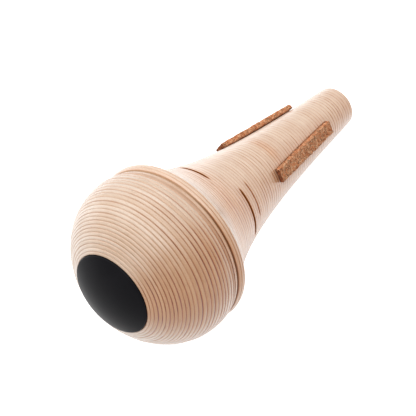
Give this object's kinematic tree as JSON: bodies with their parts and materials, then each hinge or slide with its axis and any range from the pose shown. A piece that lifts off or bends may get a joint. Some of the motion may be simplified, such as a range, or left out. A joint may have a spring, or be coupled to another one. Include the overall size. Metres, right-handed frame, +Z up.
{
  "type": "trumpet straight mute",
  "caption": "Hollow wooden straight mute: a ring-built bulb with a round end badge, glued to a flared open neck that carries cork strips to wedge it in a trumpet's bell.",
  "frame": {"origin": "on the table under the middle of the box around the mute as it lies on its bead and neck rim", "axes": "+Z up from the table, +X from the bulb towards the open end of the neck, which points 12.228 degrees below +X, and +Y across the mute"},
  "size_m": [0.1676, 0.0756, 0.0762],
  "materials": {
    "bulb_wood": "pale, fine-sanded and oiled, with darker glue lines between its rings",
    "neck_wood": "pale, fine-sanded and oiled, nearly flush rings",
    "plug_wood": "bare turned wood",
    "badge_black": "satin black",
    "cork": "natural granular cork, sanded, unsealed"
  },
  "bodies": {
    "root": {"dome_shell": "bulb_wood", "neck_shell": "neck_wood", "core_plug": "plug_wood", "end_badge": "badge_black", "cork_strip_1": "cork", "cork_strip_2": "cork", "cork_strip_3": "cork"}
  },
  "joints": []
}
